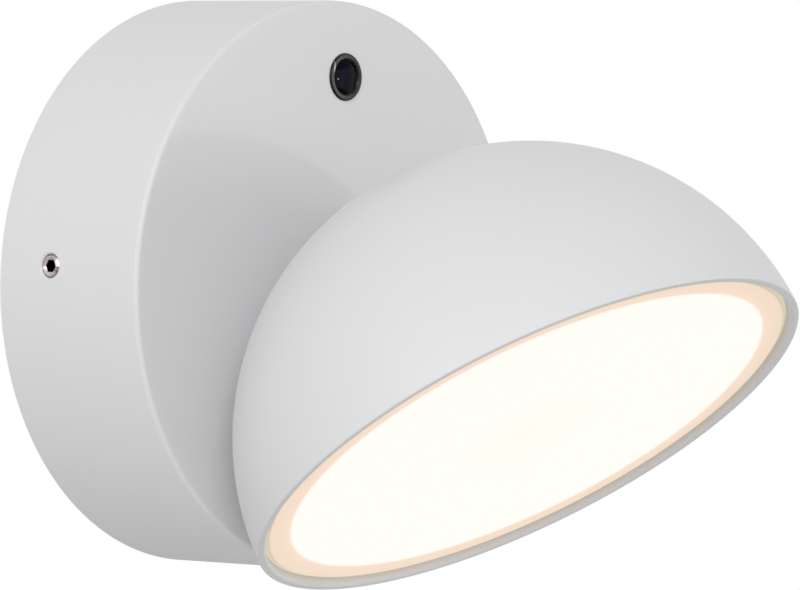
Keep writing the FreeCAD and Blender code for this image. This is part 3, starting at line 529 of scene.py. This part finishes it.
def arc(radius, y0, y1, count):
    """Path along a ball's skin round the origin, from one height to another."""
    angle = np.linspace(math.asin(y0 / radius), math.asin(y1 / radius), count)
    return np.stack([radius * np.cos(angle), radius * np.sin(angle)], -1)


def combine(piece, others, operation):
    """Cuts or adds other closed pieces, which are used up."""
    for other in others:
        step = piece.modifiers.new("combine", "BOOLEAN")
        step.operation, step.solver, step.object = operation, "EXACT", other
        view = bpy.context.evaluated_depsgraph_get()
        mesh = bpy.data.meshes.new_from_object(piece.evaluated_get(view))
        piece.modifiers.clear()
        old, piece.data = piece.data, mesh
        bpy.data.meshes.remove(old)
        bpy.data.objects.remove(other)


def finished(piece, body, slot, *nodes):
    """Dresses a piece in a slot's finish, lets it ride on a body and stand for its nodes."""
    piece.data.materials.clear()
    piece.data.materials.append(finishes[slot])
    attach(piece, body)
    if nodes:
        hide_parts(*nodes)
    print(piece.name, len(piece.data.polygons), "faces")
    return piece


# lamp head
dome = dict(
    outer=60.4, wall=1.8, rim=-0.25, rimRound=0.35, bevel=0.5,
    ledgeInner=55.22, ledgeFront=6.1, ledgeBack=8.6, rows=72, segments=288,
)


def makeDome(s):
    """Half ball: down its skin from the pole, round the rim, up the mouth, over the ledge and back to the
    pole inside."""
    inner = s["outer"] - s["wall"]
    skin = arc(s["outer"], s["outer"], s["rim"] + s["rimRound"] * 1.6, s["rows"])
    rim = profile([(s["outer"], 3.0), (s["outer"], s["rim"], s["rimRound"]),
                   (inner + s["bevel"], s["rim"], 0.12), (inner, s["rim"] + s["bevel"], 0.15),
                   (inner, 1.0)], 9)[1:]
    edge = [math.sqrt(inner ** 2 - y ** 2) for y in (s["ledgeFront"], s["ledgeBack"])]
    ledge = profile([(edge[0], s["ledgeFront"]), (s["ledgeInner"], s["ledgeFront"], 0.2),
                     (s["ledgeInner"], s["ledgeBack"], 0.2), (edge[1], s["ledgeBack"])], 4)
    inside = arc(inner, s["ledgeBack"] + 0.3, inner, s["rows"])
    path = np.concatenate([skin, rim, arc(inner, 1.5, s["ledgeFront"] - 0.1, 6), ledge, inside])
    path[0, 0] = path[-1, 0] = 0
    return turned("domeShell", path, inHead, s["segments"])


finished(makeDome(dome), "head", "white_powder_coat", "head_shell")

plate = dict(radius=57.5, front=1.1, back=3.1, edge=0.25, step=1.75, shoulder=58.42)


def makePlate(s):
    """Flat disc with a rounded front edge and a thin shoulder round it, which closes the mouth."""
    path = profile([(0, s["front"]), (s["radius"], s["front"], s["edge"]), (s["radius"], s["step"], 0.15),
                    (s["shoulder"], s["step"], 0.15), (s["shoulder"], s["back"], 0.2), (0, s["back"])], 7)
    return turned("opalPlate", spread(path, 4.0), inHead, 288)


finished(makePlate(plate), "head", "opal_diffuser", "diffuser")


# drum
drum = dict(
    frontRadius=60.0, depth=38.5, draft=1.0, wall=2.8, front=3.0, frontRound=1.0, backRound=0.4,
    ledgeDepth=3.2, ledgeThick=2.0, ledgeWidth=2.4, segments=288,
    openingDrop=29.9, opening=25.1, openingRound=0.5, stop=24.1, stopHalf=4.0,
    sensorRise=44.05, bezelSeat=5.07, sleeve=4.52, bezelDeep=0.9,
    setDepth=14.1, setHole=2.55, setMouth=2.9, setMouthDeep=0.35, setBoss=5.6, setInner=52.78,
)


def drumSide(s, y):
    return s["frontRadius"] + (y + s["depth"]) * math.tan(math.radians(s["draft"]))


def makeDrum(s):
    """Cup: from the middle of its face over the front edge, along the drafted side to the wall, then in
    over the gasket's ledge and along the floor."""
    back, floor = drumSide(s, 0), s["front"] - s["depth"]
    inner = back - s["wall"]
    outside = profile([(0, -s["depth"]), (s["frontRadius"], -s["depth"], s["frontRound"]),
                       (back, 0, s["backRound"]), (inner, 0)], 9)
    inside = profile([(inner, 0), (inner, -s["ledgeDepth"]), (inner - s["ledgeWidth"], -s["ledgeDepth"], 0.3),
                      (inner - s["ledgeWidth"], -s["ledgeDepth"] - s["ledgeThick"], 0.3),
                      (inner, -s["ledgeDepth"] - s["ledgeThick"]), (s["frontRadius"] - s["wall"], floor, 0.8),
                      (0, floor)], 5)
    path = spread(np.concatenate([outside, inside[1:]]), 3.0)
    return turned("drumHousing", path, along("+Y"), s["segments"])


def openingCutter(s):
    """Plug for the ball seat's opening: flared at the lip, and narrower behind it over the stop's angle."""
    u = np.linspace(0, 2 * math.pi, 240, endpoint=False)
    lip = profile([(s["opening"] + s["openingRound"], -s["depth"] - 1),
                   (s["opening"] + s["openingRound"], -s["depth"])])
    bend = np.linspace(0, math.pi / 2, 7)
    curve = np.stack([s["opening"] + s["openingRound"] * (1 - np.sin(bend)),
                      -s["depth"] + s["openingRound"] * (1 - np.cos(bend))], -1)
    deep = np.array([(s["opening"], -s["depth"] + s["openingRound"] + 0.01),
                     (s["opening"], s["front"] - s["depth"] + 1)])
    path = np.concatenate([[(0, -s["depth"] - 1)], lip, curve[1:], deep, [(0, deep[-1, 1])]])
    r = np.outer(path[:, 0], np.ones(len(u)))
    stopped = np.abs(np.degrees(u) - 270) < s["stopHalf"]
    rows = (path[:, 1] > -s["depth"] + s["openingRound"] + 0.005) & (path[:, 0] > 0)
    r[np.ix_(rows, stopped)] = s["stop"]
    grid = np.stack([r * np.cos(u), np.outer(path[:, 1], np.ones(len(u))), r * np.sin(u)], -1)
    return gridPiece("openingCutter", grid, along("+Y", z=-s["openingDrop"]))


def setScrewCutter(s, side):
    """Plug for a set screw's hole, with a countersunk mouth in the drum's side."""
    face = drumSide(s, -s["setDepth"])
    path = [(0, 45), (s["setHole"], 45), (s["setHole"], face - s["setMouthDeep"]),
            (s["setMouth"] + 1, face + 1), (0, face + 1)]
    return turned("setScrewCutter", profile(path), along(side, y=-s["setDepth"]), 64)


def boss(name, radius, top, hole, deep, place, foot):
    """Round boss with a chamfered top, and a blind hole that reaches deep below it."""
    path = [(0, foot), (radius, foot), (radius, top, 0.4), (hole + 0.25, top), (hole, top - 0.25),
            (hole, top - deep), (0, top - deep)]
    return turned(name, profile(path, 4), place, 64)


bosses = [  # radius, height over the floor, hole, x, z
    (3.6, 6.0, 1.55, -44.4, 5.5), (3.6, 6.0, 1.55, 24.4, 5.5),
    (3.6, 5.0, 1.55, 39.0, 8.0), (3.6, 5.0, 1.55, 39.0, 18.0),
    (5.0, 8.0, 2.05, 38.0, -17.0),
]
keeper = dict(circle=33.0, angles=(50.0, 130.0, 200.0, 340.0), radius=3.4, height=2.6, hole=1.55, deeper=1.2,
              foot=2.6)


def dressDrum(s):
    floor = s["front"] - s["depth"]
    piece = makeDrum(s)
    seat = -s["depth"] + s["bezelDeep"]
    sensorPath = [(0, -s["depth"] - 1), (s["bezelSeat"], -s["depth"] - 1), (s["bezelSeat"], seat),
                  (s["sleeve"], seat), (s["sleeve"], floor + 1), (0, floor + 1)]
    sensorCutter = turned("sensorCutter", profile(sensorPath), along("+Y", z=s["sensorRise"]), 96)
    solid = []
    for radius, height, hole, x, z in bosses:
        solid.append(boss("boss", radius, floor + height, hole, height - 1, along("+Y", x, 0, z),
                          floor - 0.6))
    for angle in keeper["angles"]:
        x, z = (keeper["circle"] * f(math.radians(angle)) for f in (math.cos, math.sin))
        solid.append(boss("boss", keeper["radius"], floor + keeper["height"], keeper["hole"],
                          keeper["height"] + keeper["deeper"], along("+Y", x, 0, z - s["openingDrop"]),
                          floor - keeper["foot"]))
    combine(piece, solid, "UNION")
    solid = []
    for side in ("+X", "-X"):
        root = s["frontRadius"] - 1.4
        path = [(0, s["setInner"]), (s["setBoss"], s["setInner"], 0.4), (s["setBoss"], root), (0, root)]
        solid.append(turned("boss", profile(path, 4), along(side, y=-s["setDepth"]), 64))
    combine(piece, solid, "UNION")
    cutters = [openingCutter(s), sensorCutter, setScrewCutter(s, "+X"), setScrewCutter(s, "-X")]
    combine(piece, cutters, "DIFFERENCE")
    shadeMesh(piece.data, 25)
    return piece


finished(dressDrum(drum), "base", "white_powder_coat", "base_housing")


# daylight sensor
sensor = dict(face=-38.5, stand=0.45, bezel=5.05, bevel=0.3, lens=3.72, lensGap=0.02, sleeve=4.5,
              sleeveEnd=-29.5, flangeDeep=0.9, crown=0.42, lensBack=-35.7, rise=44.05)


def makeBezel(s):
    """Ring with a rounded shoulder and a bevel down to the lens, and the sleeve behind it."""
    top = s["face"] - s["stand"]
    flange = s["face"] + s["flangeDeep"]
    path = profile([(s["sleeve"], s["sleeveEnd"] + 1), (s["sleeve"], s["sleeveEnd"], 0.1),
                    (s["lens"], s["sleeveEnd"], 0.1), (s["lens"], s["face"] - 0.05, 0.04),
                    (s["lens"] + s["bevel"], top, 0.12), (s["bezel"], top, 0.36), (s["bezel"], flange, 0.08),
                    (s["sleeve"], flange), (s["sleeve"], s["sleeveEnd"] + 1)], 7)
    return turned("sensorBezel", path, along("+Y", z=s["rise"]), 128)


def makeLens(s):
    """Crowned glass: a shallow dome with a small bevel at its edge."""
    edge = s["lens"] - s["lensGap"]
    radius = (edge ** 2 + s["crown"] ** 2) / (2 * s["crown"])
    front = s["face"] + s["lensGap"]
    r = np.linspace(0, edge, 24)
    y = front - s["crown"] + radius - np.sqrt(radius ** 2 - r ** 2)
    path = np.concatenate([np.stack([r, y], -1), [(edge, s["lensBack"]), (0, s["lensBack"])]])
    return turned("sensorLens", path, along("+Y", z=s["rise"]), 128)


finished(makeBezel(sensor), "base", "black_plastic", "sensor_bezel")
finished(makeLens(sensor), "base", "dark_lens", "sensor_lens")


# set screws
def makeSetScrew(s, side):
    """One grid: along each column up from the socket's point, over its six flats and mouth, across the
    face, down the chamfer and thread, and in over the cup point. The socket's radius goes by the angle."""
    u = np.linspace(0, 2 * math.pi, 96, endpoint=False)
    one, face = np.ones(len(u)), s["face"]
    flat = s["hexFlats"] / 2 / np.cos(u % (math.pi / 3) - math.pi / 6)
    corner = s["hexFlats"] / 2 / math.cos(math.pi / 6)
    mouth = corner + s["mouth"]
    rows = [(0 * one, face - s["hexDeep"] - s["cone"]), (flat, face - s["hexDeep"])]
    meet = face - (mouth - flat) * 0.5
    rows += [(flat, meet), (mouth * one, face)]
    edge = s["radius"] - s["chamfer"]
    rows += [(edge * one, face), (s["radius"] * one, face - s["chamfer"])]
    turns = int((s["length"] - 2 * s["chamfer"]) / s["pitch"]) - 1
    twist = u / (2 * math.pi) * s["pitch"]
    for k in range(turns):
        top = face - s["chamfer"] - k * s["pitch"] - twist
        for share, deep in ((0.06, 0), (0.42, 1), (0.56, 1), (0.92, 0)):
            rows.append(((s["radius"] - deep * s["threadDeep"]) * one, top - share * s["pitch"]))
    end = face - s["length"]
    rows += [((s["radius"] - s["threadDeep"]) * one, end + s["chamfer"]), (1.35 * one, end),
             (1.0 * one, end + 0.05), (0 * one, end + s["cup"] * 0.6)]
    r = np.array([row[0] for row in rows])
    y = np.array([row[1] * one for row in rows])
    grid = np.stack([r * np.cos(u), y, r * np.sin(u)], -1)
    name = "setScrew" + {"+X": "Right", "-X": "Left"}[side]
    return gridPiece(name, grid, along(side, y=-s["depth"]), 35)


for i, side in enumerate(("-X", "+X")):
    replaced = ["set_screws"] if i == 0 else []
    screw = finished(makeSetScrew(setScrew, side), "base", "stainless_steel", *replaced)
    screw.data.materials[0] = turnedSteel


# gasket and grommet at the back
gasket = dict(outer=57.66, width=2.4, depth=3.2, lip=0.5, groove=0.7, crest=0.3, grooveRound=0.2, seam=1.5)


def makeGasket(s):
    """Ring with two soft lips on the wall side and a groove between them."""
    a, b = s["outer"], s["outer"] - s["width"]
    third = s["width"] / 3
    crest, floor = s["crest"], s["grooveRound"]
    path = profile([(b, -s["seam"]), (b, 0, s["lip"]), (b + third, 0, crest),
                    (b + 1.25 * third, -s["groove"], floor), (b + 1.75 * third, -s["groove"], floor),
                    (a - third, 0, crest), (a, 0, s["lip"]), (a, -s["depth"], crest), (b, -s["depth"], crest),
                    (b, -s["seam"])], 5)
    return turned("rimGasket", path, along("+Y"), 240)


finished(makeGasket(gasket), "base", "black_rubber", "rim_gasket")

grommet = dict(bore=4.0, neck=8.98, plate=1.5, flange=11.5, flangeBack=-3.2, collar=9.0,
               waist=(7.4, -5.2, 0.3), throat=(7.0, -5.9, 0.3), nose=5.6, depth=8.0, seam=2.0)


def makeGrommet(s):
    """Rubber grommet: flange behind the bracket, and a nose that narrows towards the cable."""
    path = profile([(s["bore"], -s["seam"]), (s["bore"], 0, 0.5), (s["neck"], 0, 0.5),
                    (s["neck"], -s["plate"]), (s["flange"], -s["plate"], 0.3),
                    (s["flange"], s["flangeBack"], 0.6),
                    (s["collar"], s["flangeBack"], 0.4), s["waist"], s["throat"],
                    (s["nose"], -s["depth"], 0.5), (s["bore"], -s["depth"], 0.4), (s["bore"], -s["seam"])], 5)
    return turned("cableGrommet", path, along("+Y"), 128)


finished(makeGrommet(grommet), "base", "black_rubber", "cable_grommet")


# stage, world and lamps
stage = dict(height=-0.2, size=2.4, colour=(0.80, 0.80, 0.80), lift=0.50)


def makeFloor(s):
    """Pale floor that reads white to the camera, apart from the object's shadow."""
    half = s["size"] / 2
    mesh = bpy.data.meshes.new("floor")
    corners = [(-half, -half, 0), (half, -half, 0), (half, half, 0), (-half, half, 0)]
    mesh.from_pydata(corners, [], [(0, 1, 2, 3)])
    mesh.transform(Matrix.Translation((0, 0, s["height"])))
    floor = bpy.data.objects.new("floor", mesh)
    bpy.context.scene.collection.objects.link(floor)
    f = Finish("floorPaint", roughness=0.9, specularIORLevel=0.0, baseColor=s["colour"],
               emissionStrength=s["lift"])
    path = f.add("LightPath", out="Is Camera Ray")
    f.set(emissionColor=f.blend(path, (0, 0, 0), (1, 1, 1)))
    mesh.materials.append(f.material)


makeFloor(stage)

light = dict(
    world=(0.540, 0.541, 0.545),
    lamps=dict(
        leftFront=dict(place=(-1.3, -1.3, 0.9), size=0.8, power=9.6, colour=(1.0, 1.0, 1.0)),
        left=dict(place=(-1.9, -0.3, 0.5), size=0.8, power=9.0, colour=(1.0, 1.0, 1.0)),
        front=dict(place=(1.0, -1.5, 0.1), size=0.6, power=2.0, colour=(1.0, 1.0, 1.0)),
        right=dict(place=(1.6, -1.2, 0.1), size=0.8, power=1.5, colour=(1.0, 1.0, 1.0)),
        glint=dict(place=(0.64, -1.10, 0.06), size=0.03, power=0.6, colour=(1.0, 1.0, 1.0)),
    ),
)


def makeWorld(colour):
    """Even light from all round, and plain white where the camera, a reflection or glass looks past
    the part."""
    world = bpy.data.worlds.new("studio")
    bpy.context.scene.world = world
    world.use_nodes = True
    tree = world.node_tree
    tree.nodes.clear()
    path = tree.nodes.new("ShaderNodeLightPath")
    seen = [Wire(tree, path.outputs[k]) for k in ("Is Camera Ray", "Is Glossy Ray", "Is Transmission Ray")]
    white = seen[0].math("MAXIMUM", seen[0].math("MAXIMUM", seen[0], seen[1]), seen[2])
    shades = [tree.nodes.new("ShaderNodeBackground") for _ in range(2)]
    for node, value in zip(shades, (colour, (1, 1, 1))):
        node.inputs["Color"].default_value = (*value, 1)
    mix, out = tree.nodes.new("ShaderNodeMixShader"), tree.nodes.new("ShaderNodeOutputWorld")
    tree.links.new(white.socket, mix.inputs[0])
    for node, slot in zip(shades, (1, 2)):
        tree.links.new(node.outputs[0], mix.inputs[slot])
    tree.links.new(mix.outputs[0], out.inputs[0])


def makeLamp(name, s):
    """Square soft box that looks at the middle of the part."""
    data = bpy.data.lights.new(name, "AREA")
    data.size, data.energy, data.color = s["size"], s["power"], s["colour"]
    lamp = bpy.data.objects.new(name, data)
    lamp.location = s["place"]
    lamp.rotation_euler = (Vector((0, -0.06, 0)) - Vector(s["place"])).to_track_quat("-Z", "Y").to_euler()
    bpy.context.scene.collection.objects.link(lamp)


makeWorld(light["world"])
for name, settings in light["lamps"].items():
    makeLamp(name, settings)
print("stage and lamps set")
